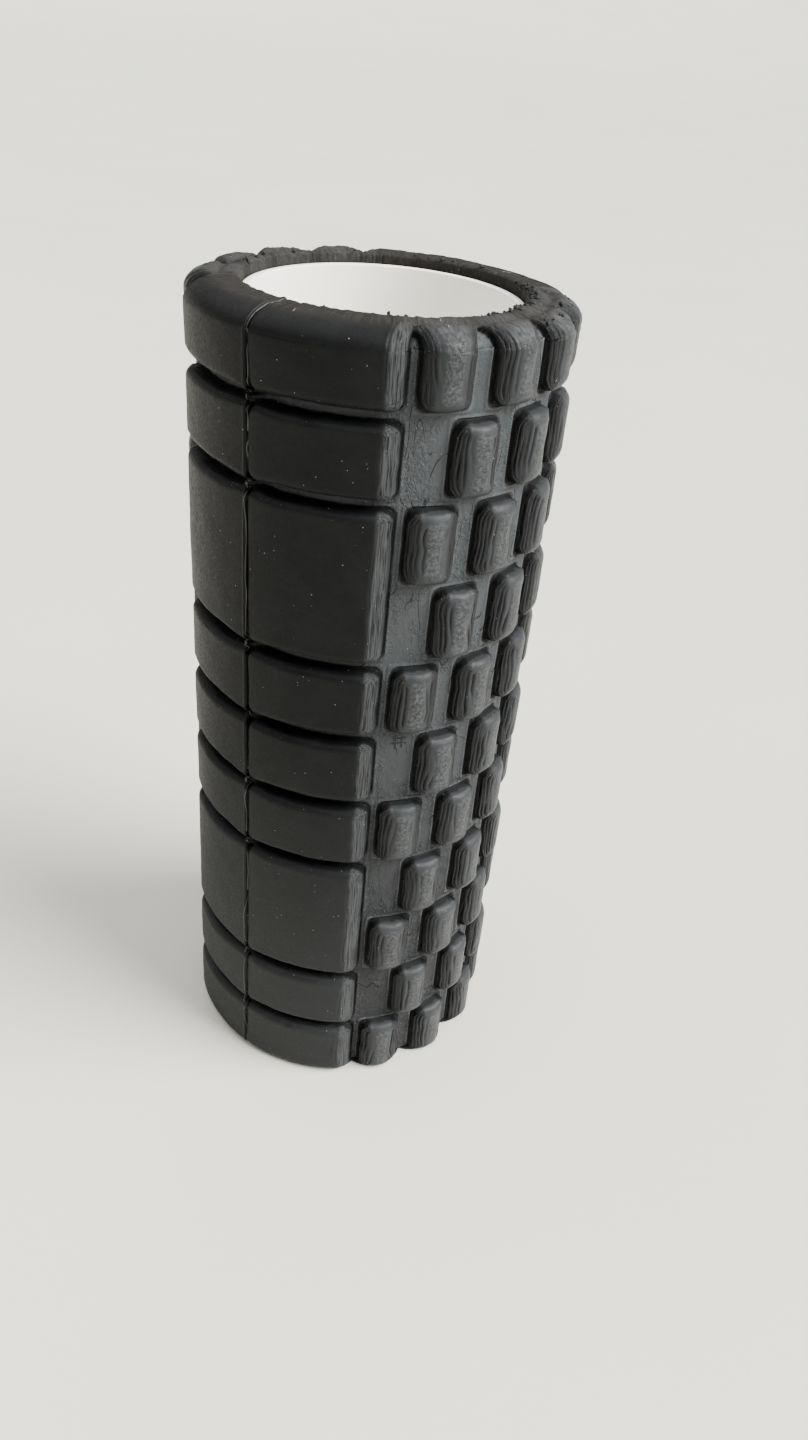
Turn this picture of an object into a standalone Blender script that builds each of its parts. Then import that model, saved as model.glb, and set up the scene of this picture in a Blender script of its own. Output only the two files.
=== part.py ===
"""Hollow-core foam roller standing on one end.

The axis is world Z and the lower end rests on z = 0. A rigid plastic tube
carries a moulded foam sleeve: one textured sheet, wrapped round the tube,
bonded to it with contact cement and butted at a straight seam. The sheet's
tread has two wide smooth columns and, between them, two zones of small
staggered blocks. Lengths are in metres.
"""

import math

import bmesh
import bpy

# Overall sizes.
LENGTH = 0.330
TIP_RADIUS = 0.068

# Core tube and the bond line over it.
TUBE_RADIUS = 0.0500
TUBE_WALL = 0.0030
TUBE_RECESS = 0.0034
TUBE_CHAMFER = 0.0004
FILM_THICKNESS = 0.0003
FILM_SETBACK = 0.0020
BOND_CLEARANCE = 0.0001

# Tread, measured along the sheet at the groove floor.
TREAD_DEPTH = 0.0062
LEAST_SKIN = 0.0015  # least foam left under the grooves of a thin sheet
ROW_PITCH = 0.03075
ROW_GROOVE = 0.0032
BLOCK_WIDTH = 0.01785
BLOCK_GAP = 0.00725
WIDE_GAP = 0.0033
BLOCKS_PER_ROW = 4
LONG_BLOCK_ROWS = (2, 7)  # these rows join the next one in the wide columns
BLOCK_EDGE = 0.0026
BLOCK_CORNER = 0.0042
EDGE_FULLNESS = 2.5

# Rounded rims of the sleeve: how far each reaches along the axis and inwards.
UPPER_RIM_HEIGHT = 0.0080
UPPER_RIM_DEPTH = 0.0110
LOWER_RIM_HEIGHT = 0.0040
LOWER_RIM_DEPTH = 0.0040
END_FLAT = 0.0035  # least flat ring left between a rim and the bore

# Butt seam in the middle of one wide column.
SEAM_AZIMUTH = math.radians(-126.8)
SEAM_SLIT = 0.0006
BEAD_WIDTH = 0.0003
BEAD_PROUD = 0.0002

# Mesh fineness.
ROUND_SEGMENTS = 96
FACE_STEP = math.radians(6.5)

# Values that follow from the ones above.
FILM_RADIUS = TUBE_RADIUS + BOND_CLEARANCE
SLEEVE_BORE = FILM_RADIUS + FILM_THICKNESS + BOND_CLEARANCE
FLOOR_RADIUS = max(TIP_RADIUS - TREAD_DEPTH, SLEEVE_BORE + LEAST_SKIN)
BLOCK_HEIGHT = TIP_RADIUS - FLOOR_RADIUS
BLOCK_PITCH = BLOCK_WIDTH + BLOCK_GAP
ZONE_WIDTH = BLOCKS_PER_ROW * BLOCK_PITCH - BLOCK_GAP + 2 * WIDE_GAP
ZONE_ANGLE = ZONE_WIDTH / FLOOR_RADIUS
WIDE_ANGLE = math.pi - ZONE_ANGLE
ROWS = max(1, round(LENGTH / ROW_PITCH))

FOAM = ("foam_black", (0.018, 0.018, 0.020, 1.0), 0.55)
PLASTIC = ("tube_white", (0.80, 0.78, 0.70, 1.0), 0.35)
CEMENT = ("cement_amber", (0.30, 0.17, 0.05, 1.0), 0.40)
BEAD = ("cement_dark", (0.025, 0.024, 0.024, 1.0), 0.30)


def clear_scene():
    for obj in list(bpy.data.objects):
        bpy.data.objects.remove(obj, do_unlink=True)


def material(spec):
    name, colour, roughness = spec
    made = bpy.data.materials.new(name)
    made.use_nodes = True
    shader = made.node_tree.nodes["Principled BSDF"]
    shader.inputs["Base Color"].default_value = colour
    shader.inputs["Roughness"].default_value = roughness
    shader.inputs["Metallic"].default_value = 0.0
    made.diffuse_color = colour
    return made


def add_object(name, bm, spec, parent):
    """Turns a closed bmesh into a named object with its own material."""
    bmesh.ops.remove_doubles(bm, verts=bm.verts, dist=1e-7)
    bmesh.ops.recalc_face_normals(bm, faces=bm.faces)
    mesh = bpy.data.meshes.new(name)
    bm.to_mesh(mesh)
    bm.free()
    mesh.materials.append(material(spec))
    obj = bpy.data.objects.new(name, mesh)
    bpy.context.scene.collection.objects.link(obj)
    obj.parent = parent
    return obj


def polar(radius, turn, z):
    """A point at an angle measured round the roller from the seam."""
    angle = SEAM_AZIMUTH + turn
    return (radius * math.cos(angle), radius * math.sin(angle), z)


# --- Tread layout -----------------------------------------------------------


def row_span(row):
    """Lowest and highest z of one row of blocks; the last runs to the rim."""
    low = row * ROW_PITCH
    high = LENGTH if row == ROWS - 1 else low + ROW_PITCH - ROW_GROOVE
    return low, high


def wide_spans():
    """Angles of the two wide columns; the seam splits the first."""
    half = WIDE_ANGLE / 2
    return ((-half, half), (math.pi - half, math.pi + half))


def small_spans(row):
    """Angles of a row's small blocks; odd rows sit half a pitch along."""
    shifted = row % 2
    count = BLOCKS_PER_ROW - shifted
    first = WIDE_GAP + shifted * BLOCK_PITCH / 2
    spans = []
    for zone in range(2):
        start = WIDE_ANGLE / 2 + zone * math.pi
        for i in range(count):
            low = start + (first + i * BLOCK_PITCH) / FLOOR_RADIUS
            spans.append((low, low + BLOCK_WIDTH / FLOOR_RADIUS))
    return spans


def long_partner(row):
    """The row that shares this row's wide block, or the row itself."""
    if row in LONG_BLOCK_ROWS and row + 1 < ROWS:
        return row + 1
    if row - 1 in LONG_BLOCK_ROWS:
        return row - 1
    return row


def wide_height(row):
    rows = sorted((row, long_partner(row)))
    return row_span(rows[0])[0], row_span(rows[1])[1]


def row_blocks(row):
    """Every block that a row's faces cross, as (angles, heights)."""
    wide = [(span, wide_height(row)) for span in wide_spans()]
    return wide + [(span, row_span(row)) for span in small_spans(row)]


def inside_depth(turn, z, block):
    """How far a point lies inside a block's round-cornered outline."""
    (left, right), (low, high) = block
    middle = (left + right) / 2
    offset = (turn - middle + math.pi) % (2 * math.pi) - math.pi
    across = ((right - left) / 2 - abs(offset)) * FLOOR_RADIUS
    # The end rims round the blocks off, so no wall stands there.
    below = z - low if low > 0 else math.inf
    above = high - z if high < LENGTH else math.inf
    along = min(below, above)
    short = [max(0.0, BLOCK_CORNER - side) for side in (across, along)]
    return min(BLOCK_CORNER - math.hypot(*short), across, along)


def tread_radius(turn, z, blocks):
    """Outer radius of the sheet: groove floor, block side or block top."""
    deepest = max(inside_depth(turn, z, block) for block in blocks)
    share = min(1.0, max(0.0, deepest / BLOCK_EDGE))
    return FLOOR_RADIUS + BLOCK_HEIGHT * (1 - (1 - share) ** EDGE_FULLNESS)


def rim_radius(z):
    """Radius of the rounded rims, which caps the tread near both ends."""

    def quarter(distance, height, depth):
        rise = min(1.0, max(0.0, 1 - distance / height))
        depth = min(depth, TIP_RADIUS - SLEEVE_BORE - END_FLAT)
        return TIP_RADIUS - depth * (1 - math.sqrt(1 - rise * rise))

    upper = quarter(LENGTH - z, UPPER_RIM_HEIGHT, UPPER_RIM_DEPTH)
    lower = quarter(z, LOWER_RIM_HEIGHT, LOWER_RIM_DEPTH)
    return min(upper, lower)


# --- Sleeve mesh ------------------------------------------------------------


def edge_stops(low, high):
    """The lines across one block: foot, shoulder and lip on both sides."""
    steps = (0.0, 0.4 * BLOCK_EDGE, BLOCK_EDGE)
    return [low + s for s in steps] + [high - s for s in reversed(steps)]


def spread(low, high, step):
    """Evenly spaced values strictly between two limits."""
    count = max(1, math.ceil((high - low) / step - 1e-9))
    return [low + (high - low) * i / count for i in range(1, count)]


def row_turns(row):
    """All angles where one row's mesh has a line, from seam to seam."""
    start = SEAM_SLIT / 2 / FLOOR_RADIUS
    stops = {start, 2 * math.pi - start}
    scale = 1 / FLOOR_RADIUS
    for left, right in small_spans(row):
        for stop in edge_stops(left / scale, right / scale):
            stops.add(stop * scale)
    edge = BLOCK_EDGE * scale
    half = WIDE_ANGLE / 2
    for sign, centre in ((1, 0.0), (-1, math.pi), (1, math.pi), (-1, 2 * math.pi)):
        side = centre + sign * half
        stops |= {side, side - sign * 0.4 * edge, side - sign * edge}
        inner = spread(0.0, half - edge, FACE_STEP)
        stops |= {centre + sign * value for value in inner}
    stops.add(math.pi)
    # Lines on the four compass directions keep the outline centred.
    for quarter in range(4):
        stops.add((quarter * math.pi / 2 - SEAM_AZIMUTH) % (2 * math.pi))
    return merged(sorted(stops), 1e-3)


def merged(values, gap):
    """Drops values that nearly repeat the one before, but keeps both ends."""
    kept = [values[0]]
    for value in values[1:-1]:
        if value - kept[-1] > gap and values[-1] - value > gap:
            kept.append(value)
    return kept + [values[-1]]


def row_levels(row):
    low, high = row_span(row)
    levels = set(edge_stops(low, high))
    if row == 0:
        heights = (0.0, 0.12, 0.42, 1.0)
        levels -= set(edge_stops(low, high)[:3])
        levels |= {LOWER_RIM_HEIGHT * h for h in heights}
    if row == ROWS - 1:
        heights = (0.0, 0.06, 0.22, 0.5, 1.0)
        levels -= set(edge_stops(low, high)[3:])
        levels |= {LENGTH - UPPER_RIM_HEIGHT * h for h in heights}
    return merged(sorted(levels), 1e-4)


def stitch(bm, first, second):
    """Joins two runs of (place, vertex) with triangles, side by side."""
    i = j = 0
    while i + 1 < len(first) or j + 1 < len(second):
        can_first = i + 1 < len(first)
        can_second = j + 1 < len(second)
        if can_first and (
            not can_second or first[i + 1][0] <= second[j + 1][0] + 1e-9
        ):
            tip = first[i + 1][1]
            bm.faces.new((first[i][1], tip, second[j][1]))
            i += 1
        else:
            tip = second[j + 1][1]
            bm.faces.new((first[i][1], tip, second[j][1]))
            j += 1


def outer_rings(bm):
    """Runs of vertices on the sleeve's outside, from the bottom up."""
    rings = []
    for row in range(ROWS):
        turns, blocks = row_turns(row), row_blocks(row)
        for z in row_levels(row):
            ring = []
            for turn in turns:
                radius = min(tread_radius(turn, z, blocks), rim_radius(z))
                ring.append((turn, bm.verts.new(polar(radius, turn, z))))
            rings.append(ring)
    return rings


def bore_ring(bm, z):
    start = SEAM_SLIT / 2 / FLOOR_RADIUS
    step = 2 * math.pi / ROUND_SEGMENTS
    turns = [start] + [i * step for i in range(1, ROUND_SEGMENTS)]
    turns.append(2 * math.pi - start)
    return [(turn, bm.verts.new(polar(SLEEVE_BORE, turn, z))) for turn in turns]


def build_sleeve(parent):
    bm = bmesh.new()
    rings = outer_rings(bm)
    bottom, top = bore_ring(bm, 0.0), bore_ring(bm, LENGTH)
    for low, high in zip(rings, rings[1:]):
        stitch(bm, low, high)
    stitch(bm, top, bottom)
    stitch(bm, bottom, rings[0])
    stitch(bm, rings[-1], top)
    for end in (0, -1):
        outline = [ring[end][1] for ring in rings]
        bm.faces.new(outline + [top[end][1], bottom[end][1]])
    return add_object("foam_sleeve", bm, FOAM, parent)


# --- Tube, film and bead ----------------------------------------------------


def lathe(name, profile, spec, parent):
    """Turns a closed (radius, z) outline once round the axis."""
    bm = bmesh.new()
    step = 2 * math.pi / ROUND_SEGMENTS
    loops = [
        [bm.verts.new(polar(radius, i * step, z)) for radius, z in profile]
        for i in range(ROUND_SEGMENTS)
    ]
    for i, here in enumerate(loops):
        there = loops[(i + 1) % ROUND_SEGMENTS]
        for k in range(len(profile)):
            n = (k + 1) % len(profile)
            bm.faces.new((here[k], there[k], there[n], here[n]))
    return add_object(name, bm, spec, parent)


def build_tube(parent):
    inner, outer = TUBE_RADIUS - TUBE_WALL, TUBE_RADIUS
    low, high = TUBE_RECESS, LENGTH - TUBE_RECESS
    cut = TUBE_CHAMFER
    profile = [
        (inner + cut, low),
        (outer - cut, low),
        (outer, low + cut),
        (outer, high - cut),
        (outer - cut, high),
        (inner + cut, high),
        (inner, high - cut),
        (inner, low + cut),
    ]
    return lathe("core_tube", profile, PLASTIC, parent)


def build_film(parent):
    inner, outer = FILM_RADIUS, FILM_RADIUS + FILM_THICKNESS
    low = TUBE_RECESS + FILM_SETBACK
    high = LENGTH - low
    profile = [(inner, low), (outer, low), (outer, high), (inner, high)]
    return lathe("adhesive_film", profile, CEMENT, parent)


def build_bead(parent):
    """The thin line of cement that stands in the butt seam."""
    outline = []
    for row in range(ROWS):
        blocks = row_blocks(row)
        for z in row_levels(row):
            radius = min(tread_radius(0.0, z, blocks), rim_radius(z))
            outline.append((radius + BEAD_PROUD, z))
    foot = SLEEVE_BORE + BEAD_PROUD
    outline += [(foot, LENGTH), (foot, 0.0)]
    bm = bmesh.new()
    sides = []
    for side in (-1, 1):
        verts = []
        for radius, z in outline:
            turn = side * BEAD_WIDTH / 2 / radius
            verts.append(bm.verts.new(polar(radius, turn, z)))
        bm.faces.new(verts)
        sides.append(verts)
    left, right = sides
    for i in range(len(outline)):
        n = (i + 1) % len(outline)
        bm.faces.new((left[i], left[n], right[n], right[i]))
    return add_object("seam_bead", bm, BEAD, parent)


def build():
    clear_scene()
    root = bpy.data.objects.new("foam_roller", None)
    bpy.context.scene.collection.objects.link(root)
    build_tube(root)
    build_film(root)
    build_sleeve(root)
    build_bead(root)


build()
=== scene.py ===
"""Looks for the hollow-core foam roller: a rigid white tube inside a moulded
foam sleeve, standing on end on a pale table.

The sleeve is worked out on the flat sheet that it was moulded as. A place on
the sheet is u, the distance round the roller from the butt seam at the groove
floor's radius, and z, the height. Everything in the sheet's mathematics is in
millimetres; meshes are turned into metres at the end.
"""

import math

import bmesh
import bpy
import numpy as np
from mathutils import Matrix, Vector


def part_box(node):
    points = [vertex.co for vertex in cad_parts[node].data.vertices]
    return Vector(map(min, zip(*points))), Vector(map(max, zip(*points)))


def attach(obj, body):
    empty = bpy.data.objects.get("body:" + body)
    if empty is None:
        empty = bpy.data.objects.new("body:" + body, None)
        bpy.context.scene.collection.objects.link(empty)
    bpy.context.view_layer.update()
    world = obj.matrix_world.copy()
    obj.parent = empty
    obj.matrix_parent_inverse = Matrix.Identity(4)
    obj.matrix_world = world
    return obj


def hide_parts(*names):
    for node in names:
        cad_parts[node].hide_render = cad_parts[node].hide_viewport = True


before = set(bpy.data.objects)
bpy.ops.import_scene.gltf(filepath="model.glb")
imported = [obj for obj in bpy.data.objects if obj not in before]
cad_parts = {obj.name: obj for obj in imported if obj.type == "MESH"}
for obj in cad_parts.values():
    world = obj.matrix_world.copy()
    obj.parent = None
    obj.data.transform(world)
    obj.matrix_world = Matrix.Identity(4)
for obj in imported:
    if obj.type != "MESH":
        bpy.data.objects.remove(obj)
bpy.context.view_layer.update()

MM = 0.001


def box_mm(node):
    low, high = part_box(node)
    return np.array(low) / MM, np.array(high) / MM


# --- Sizes, from the frame where it holds them ---

SLEEVE_LOW, SLEEVE_HIGH = box_mm("foam_sleeve")
TUBE_LOW, TUBE_HIGH = box_mm("core_tube")
FILM_LOW, FILM_HIGH = box_mm("adhesive_film")

LENGTH = SLEEVE_HIGH[2]
TIP = (SLEEVE_HIGH[0] - SLEEVE_LOW[0]) / 2
BORE = FILM_HIGH[0] + 0.1
TUBE_OUT = TUBE_HIGH[0]
TUBE_WALL = 3.0

# The tread, as in the part's source.
DEPTH = 6.2
PITCH = 30.75
GROOVE = 3.2
BLOCK = 17.85
BLOCK_GAP = 7.25
WIDE_GAP = 3.3
PER_ROW = 4
LONG_ROWS = (2, 7)
CORNER = 5.2
SEAM = math.radians(-126.8)

FLOOR = TIP - DEPTH
ROUND = 2 * math.pi * FLOOR
ZONE = PER_ROW * (BLOCK + BLOCK_GAP) - BLOCK_GAP + 2 * WIDE_GAP
WIDE = ROUND / 2 - ZONE
ROWS = max(1, round(LENGTH / PITCH))

# Rounded rims: reach along the axis and inwards.
TOP_RIM = (6.5, 9.5)
LOW_RIM = (4.0, 4.0)

# How far a shoulder reaches in: on the sides along the grooves between rows,
# and on the sides that run along the axis.
SMALL_REACH = (4.6, 7.4)
WIDE_REACH = (3.0, 6.8)

# Mesh spacing: round a block's flanks, up them, and elsewhere; and the lines
# just outside a block's foot.
FINE = 0.27
COARSE = 0.6
OPEN = 1.1
OUTSIDE = (0.12, 0.38, 0.75, 1.25)
BAND_EDGE = OUTSIDE[-1]

# Over a rim, blocks widen by this much until they meet, as (wide, small).
RIM_WIDEN = (3.2, 3.9)

# The glued seam draws the grooves shut: by how much and over what width. Its
# edges are rounded at each block's corner, as (left, right).
PINCH = 1.15
PINCH_WIDTH = 7.5
SEAM_CORNERS = (1.3, 3.2)

# The lip round a block's foot and the crease inside it: place outside the
# foot, width and height.
LIP = (0.72, 0.32, 0.52)
LIP_CREASE = (0.18, 0.26, 0.30)
# How wide the painted highlight along a small block's lip is.
LIP_HIGHLIGHT_WIDTH = 0.27
FLANK_END = (6.9, 5.2)  # how far in a flank's own skin goes, as (wide, small)

# The two ends, as (lower, upper): how far the groove floor's rim reaches along
# the axis, the radius that it runs in to, how far it lies below the end face,
# how much the face sags, and how far a small block's cut face is dished.
FLOOR_RIM = (2.4, 4.6)
FLOOR_RIM_RADIUS = (58.6, 56.4)
FLOOR_DROP = (0.9, 3.0)
FACE_SAG = (0.1, 0.35)
FACE_DISH = (0.2, 1.1)
SMALL_TOP_RIM = (6.5, 7.0)
BORE_EASE = 0.6
BORE_DROP = 0.5

# The sheet's slackness: how far it flares by its upper end, and how much the
# blocks stand proud of the part's plain solid.
FLARE = 1.1
END_FLARE = 0.5
SWELL = 0.45

# The upper end is cut askew, highest towards this azimuth.
ASKEW_AZIMUTH = math.radians(-100)
ASKEW_MEAN = 1.5
ASKEW_SWING = 1.1
LAST_GROOVE_DROP = 1.4

# Folds down the blocks' flanks, as (wide, small).
FOLD_PERIOD = (1.2, 1.6)
FOLD_SWAY = (0.4, 1.0)
FOLD_END = (1.6, 4.4)
FOLD_FADE = (1.6, 3.0)

SHEET_UNIT = 0.01  # the material's sheet coordinates are in units of 100 mm


# --- Smooth noise ---


class Seed:
    """Which noise is which. A new number reshuffles that unevenness."""

    WAVES, RIPPLES, KNOTS, OUTLINE, FOLDS = 3, 5, 5, 11, 31
    SAG, LUMPS, TORN, SEAM = 41, 55, 57, 61
    SWAY, JOG, BEAD_WIDTH, BEAD_HEIGHT = 71, 72, 81, 82
    WRINKLES, WRINKLE_DEPTH = 91, 92
    CRUMBS = 12


def lattice(ix, iy, seed):
    """A repeatable pseudo-random number from 0 to 1 for each whole place."""
    h = (
        ix.astype(np.int64) * 374761393
        + iy.astype(np.int64) * 668265263
        + np.asarray(seed, np.int64) * 2246822519
    )
    h = (h ^ (h >> 13)) * 1274126177 & 0xFFFFFFFF
    h = (h ^ (h >> 16)) & 0xFFFFFFFF
    return h / 0xFFFFFFFF


def noise(x, y, seed=0):
    """Value noise from -1 to 1, smooth, about one wave for each unit."""
    fx, fy = np.floor(x), np.floor(y)
    tx, ty = x - fx, y - fy
    tx, ty = tx * tx * (3 - 2 * tx), ty * ty * (3 - 2 * ty)
    a, b = lattice(fx, fy, seed), lattice(fx + 1, fy, seed)
    c, d = lattice(fx, fy + 1, seed), lattice(fx + 1, fy + 1, seed)
    low, high = a + (b - a) * tx, c + (d - c) * tx
    return 2 * (low + (high - low) * ty) - 1


def rough_noise(x, y, seed=0, octaves=3):
    total, scale, weight = 0.0, 1.0, 1.0
    for octave in range(octaves):
        total = total + weight * noise(x * scale, y * scale, seed + 17 * octave)
        scale, weight = scale * 2.1, weight * 0.5
    return total / 1.75


def smooth(edge0, edge1, x):
    t = np.clip((x - edge0) / (edge1 - edge0), 0, 1)
    return t * t * (3 - 2 * t)


def bell(x, width):
    return np.exp(-((x / width) ** 2))


def pick(second, pair):
    """The second of a pair of values where the mask is set, else the first."""
    return np.where(second, pair[1], pair[0])


# --- A block's side, from its foot to its top ---

FAR = 99.0  # a distance that stands for no side near

WALL_INSET = 0.6  # a block starts with a steep wall, this far in
WALL_RISE = (3.0, 2.0)  # and this high, on sides along u and along the axis
SQUARENESS = (2.0, 1.45)  # how full the shoulder above it is, the same way
REACHES = (3.0, 9.0)  # shoulder reaches that the table of lengths spans


def side_rise(inset, reach):
    """Height of a block above the groove floor on a side along the axis."""
    far = np.full_like(inset, FAR)
    return block_rise(inset, inset, far, reach, 1.0, np.ones_like(inset))


def block_rise(inset, from_u, from_z, reach_u, reach_z, facing):
    """Height above the groove floor from the distances to a block's sides."""
    wall = np.clip(inset / WALL_INSET, 0, 1)
    over_u = 1 - np.clip((from_u - WALL_INSET) / reach_u, 0, 1)
    over_z = 1 - np.clip((from_z - WALL_INSET) / reach_z, 0, 1)
    shoulder_z = (1 - over_z ** SQUARENESS[0]) ** (1 / SQUARENESS[0])
    shoulder_u = (1 - over_u ** SQUARENESS[1]) ** (1 / SQUARENESS[1])
    wall_rise = WALL_RISE[0] + (WALL_RISE[1] - WALL_RISE[0]) * facing
    return wall_rise * wall**0.8 + (DEPTH - wall_rise) * shoulder_u * shoulder_z


def side_table(reach):
    """Insets down one side, closely spaced, and the lengths along it."""
    t = np.linspace(0, 1, 400) ** 2
    inset = np.concatenate([np.linspace(0, WALL_INSET, 30)[:-1], WALL_INSET + reach * t])
    steps = np.hypot(np.diff(inset), np.diff(side_rise(inset, reach)))
    return inset, np.concatenate([[0], np.cumsum(steps)])


SIDES = [side_table(reach) for reach in REACHES]


def side_run(inset, reach):
    """Length along the side from the foot to an inset."""
    near, far = (np.interp(inset, *table) for table in SIDES)
    share = (reach - REACHES[0]) / (REACHES[1] - REACHES[0])
    return near + (far - near) * share


def side_lines(reach, step):
    """Insets of the mesh lines down a side, evenly spaced along it."""
    inset, run = side_table(reach)
    count = math.ceil(run[-1] / step)
    return np.interp(np.linspace(0, run[-1], count + 1), run, inset)


# --- Where the blocks are ---


def row_span(row):
    low = row * PITCH
    high = LENGTH if row == ROWS - 1 else low + PITCH - GROOVE
    return low, high


def wide_rows(row):
    if row in LONG_ROWS and row + 1 < ROWS:
        return row, row + 1
    if row - 1 in LONG_ROWS:
        return row - 1, row
    return row, row


def small_blocks(row):
    """Spans along u of a row's small blocks; odd rows sit half a pitch along."""
    shifted = row % 2
    first = WIDE_GAP + shifted * (BLOCK + BLOCK_GAP) / 2
    spans = []
    for zone in range(2):
        start = WIDE / 2 + zone * ROUND / 2
        for i in range(PER_ROW - shifted):
            low = start + first + i * (BLOCK + BLOCK_GAP)
            spans.append((low, low + BLOCK))
    return spans


def row_blocks(row):
    """Each block that a row crosses: centre u and z, half sizes, kind, number."""
    blocks = []
    rows = wide_rows(row)
    low, high = row_span(rows[0])[0], row_span(rows[1])[1]
    for side in range(2):
        blocks.append((side * ROUND / 2, WIDE / 2, low, high, 0, 40 * rows[0] + side))
    low, high = row_span(row)
    for i, (left, right) in enumerate(small_blocks(row)):
        centre = (left + right) / 2
        blocks.append((centre, (right - left) / 2, low, high, 1, 40 * row + 5 + i))
    return blocks


# --- Mesh lines ---


def fill(lines, widest):
    """Adds evenly spaced lines where neighbours are further apart than widest."""
    lines = np.unique(np.round(lines, 4))
    kept = [lines[0]]
    for line in lines[1:]:
        if line - kept[-1] > 0.09:
            kept.append(line)
    out = [kept[0]]
    for line in kept[1:]:
        gap = line - out[-1]
        count = max(1, math.ceil(gap / widest - 1e-6))
        out += [out[-1] + gap * i / count for i in range(1, count)] + [line]
    return np.array(out)


def u_lines(row):
    """Where a row's mesh has lines along the axis, once round the roller."""
    outer = -np.array(OUTSIDE)
    small_lines = np.concatenate([outer, side_lines(SMALL_REACH[1], FINE)])
    wide_lines = np.concatenate([outer, side_lines(WIDE_REACH[1], FINE)])
    lines = [0.0, ROUND]
    seam = np.array([0.1, 0.2, 0.32, 0.46, 0.62, 0.82, 1.1, 1.5, 2.0, 2.7, 3.6])
    lines += list(seam) + list(ROUND - seam)
    edges = [(left, 1, small_lines) for left, _ in small_blocks(row)]
    edges += [(right, -1, small_lines) for _, right in small_blocks(row)]
    for side in range(2):
        edges.append((side * ROUND / 2 - WIDE / 2, 1, wide_lines))
        edges.append((side * ROUND / 2 + WIDE / 2, -1, wide_lines))
    for place, sign, offsets in edges:
        lines += list((place + sign * offsets) % ROUND)
    return fill(np.array(lines), OPEN)[:-1]


def end_levels(count):
    """(stage, share) of the mesh lines over an end, from the tread inwards.

    Stage 1 is the rounded rim and 2 the end face; stage 3 goes into the bore,
    and its share is a depth.
    """
    levels = [(1, share) for share in np.linspace(0, 1, count + 1)[1:]]
    levels += [(2, share) for share in np.linspace(0, 1, 11)[1:]]
    return levels + [(3, d) for d in (0.1, 0.3, 0.6, 1.0, 1.6, 2.4, 3.4, 6.0, 12.0)]


def row_levels(row):
    """(z, stage, share) of a row's mesh lines, from its lower edge up."""
    low, high = row_span(row)
    first, last = row == 0, row == ROWS - 1
    offsets = np.concatenate([-np.array(OUTSIDE), side_lines(WIDE_REACH[0], COARSE)])
    z = []
    z += [LOW_RIM[0]] if first else list(low + offsets)
    z += [high - TOP_RIM[0]] if last else list(high - offsets)
    levels = [(place, 0, 0.0) for place in fill(np.array(z), OPEN)]
    if first:
        over = [(0.0, stage, share) for stage, share in end_levels(10)]
        levels = over[::-1] + levels
    if last:
        levels += [(LENGTH, stage, share) for stage, share in end_levels(18)]
    return np.array(levels)


# --- Shape of the sheet ---


def around(u, centre):
    """Signed distance along the sheet from a centre, the short way round."""
    return (u - centre + ROUND / 2) % ROUND - ROUND / 2


def round_corners(u, z, block):
    """Moves the mesh lines near a block's corners onto its rounded outline.

    Returns the shifts of u and z, the inset from the outline (negative
    outside), how much the outline there faces along u, and the distances in
    from the block's sides.
    """
    centre, half_u, low, high, _, _ = block
    # A block that reaches the rim has no corner there.
    low = low if low > 0 else -60.0
    high = high if high < LENGTH else LENGTH + 60.0
    half_z, mid_z = (high - low) / 2, (high + low) / 2
    x, y = around(u, centre), z - mid_z
    from_u, from_z = half_u - np.abs(x), half_z - np.abs(y)
    inset = np.minimum(from_u, from_z)
    radius = np.where(
        inset >= 0,
        np.maximum(CORNER - inset, 0),
        CORNER * np.clip(1 + inset / BAND_EDGE, 0, 1),
    )
    wide, tall = half_u - inset, half_z - inset
    over_x = np.abs(x) - (wide - radius)
    over_y = np.abs(y) - (tall - radius)
    safe = np.maximum(radius, 1e-6)
    corner = (over_x > 0) & (over_y > 0) & (radius > 1e-5)
    upright = from_u <= from_z
    angle = np.where(
        upright,
        np.clip(over_y / safe, 0, 1) * math.pi / 4,
        math.pi / 2 - np.clip(over_x / safe, 0, 1) * math.pi / 4,
    )
    new_x = np.where(corner, wide - radius + radius * np.cos(angle), np.abs(x))
    new_y = np.where(corner, tall - radius + radius * np.sin(angle), np.abs(y))
    facing = np.where(corner, np.cos(angle) ** 2, upright.astype(float))
    shift_u = np.sign(x) * (new_x - np.abs(x))
    shift_z = np.sign(y) * (new_y - np.abs(y))
    return shift_u, shift_z, inset, facing, half_u - new_x, half_z - new_y


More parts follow.
